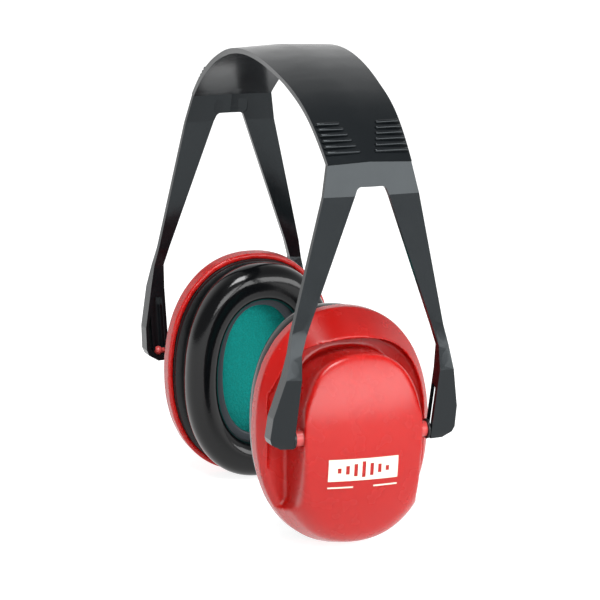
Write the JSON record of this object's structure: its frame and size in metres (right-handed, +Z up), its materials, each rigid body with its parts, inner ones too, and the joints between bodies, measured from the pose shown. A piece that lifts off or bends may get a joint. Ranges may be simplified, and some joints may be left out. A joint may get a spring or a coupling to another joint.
{
  "type": "hearing protection earmuffs",
  "caption": "Over-the-head hearing protection earmuffs with tilting, height-adjustable oval cups on a forked plastic headband.",
  "frame": {"origin": "middle of the bounding box at the cups' lowest points", "axes": "+Z up along the headband's height, +X from the middle of the head to the right cup, +Y across the band's width towards the front pins"},
  "size_m": [0.1748, 0.0772, 0.1891],
  "materials": {
    "headband_plastic": "charcoal black, satin",
    "cup_plastic": "bright red, semi-gloss",
    "pin_plastic": "red, semi-gloss",
    "bush_plastic": "black, satin",
    "carrier_plastic": "black, satin",
    "cushion_vinyl": "black vinyl, glossy",
    "cushion_foam": "open-cell foam",
    "liner_foam": "teal open-cell foam, matte"
  },
  "bodies": {
    "headband": {"headband": "headband_plastic"},
    "right_slider": {"right_front_bush": "bush_plastic", "right_rear_bush": "bush_plastic"},
    "right_cup": {"right_cup_shell": "cup_plastic", "right_front_pin": "pin_plastic", "right_rear_pin": "pin_plastic", "right_cushion_carrier": "carrier_plastic", "right_cushion_skin": "cushion_vinyl", "right_cushion_foam": "cushion_foam", "right_foam_liner": "liner_foam"},
    "left_slider": {"left_front_bush": "bush_plastic", "left_rear_bush": "bush_plastic"},
    "left_cup": {"left_cup_shell": "cup_plastic", "left_front_pin": "pin_plastic", "left_rear_pin": "pin_plastic", "left_cushion_carrier": "carrier_plastic", "left_cushion_skin": "cushion_vinyl", "left_cushion_foam": "cushion_foam", "left_foam_liner": "liner_foam"}
  },
  "joints": [
    {"name": "right_slide", "type": "slide", "parent": "headband", "child": "right_slider", "axis": [0.2588, 0, 0.9659], "range_m": [0, 0.018]},
    {"name": "right_tilt", "type": "hinge", "parent": "right_slider", "child": "right_cup", "pos_m": [0.0763, 0, 0.04886], "axis": [0, 1, 0], "range_deg": [-12, 12]},
    {"name": "left_slide", "type": "slide", "parent": "headband", "child": "left_slider", "axis": [-0.2588, 0, 0.9659], "range_m": [0, 0.018]},
    {"name": "left_tilt", "type": "hinge", "parent": "left_slider", "child": "left_cup", "pos_m": [-0.0763, 0, 0.04886], "axis": [0, -1, 0], "range_deg": [-12, 12]}
  ]
}
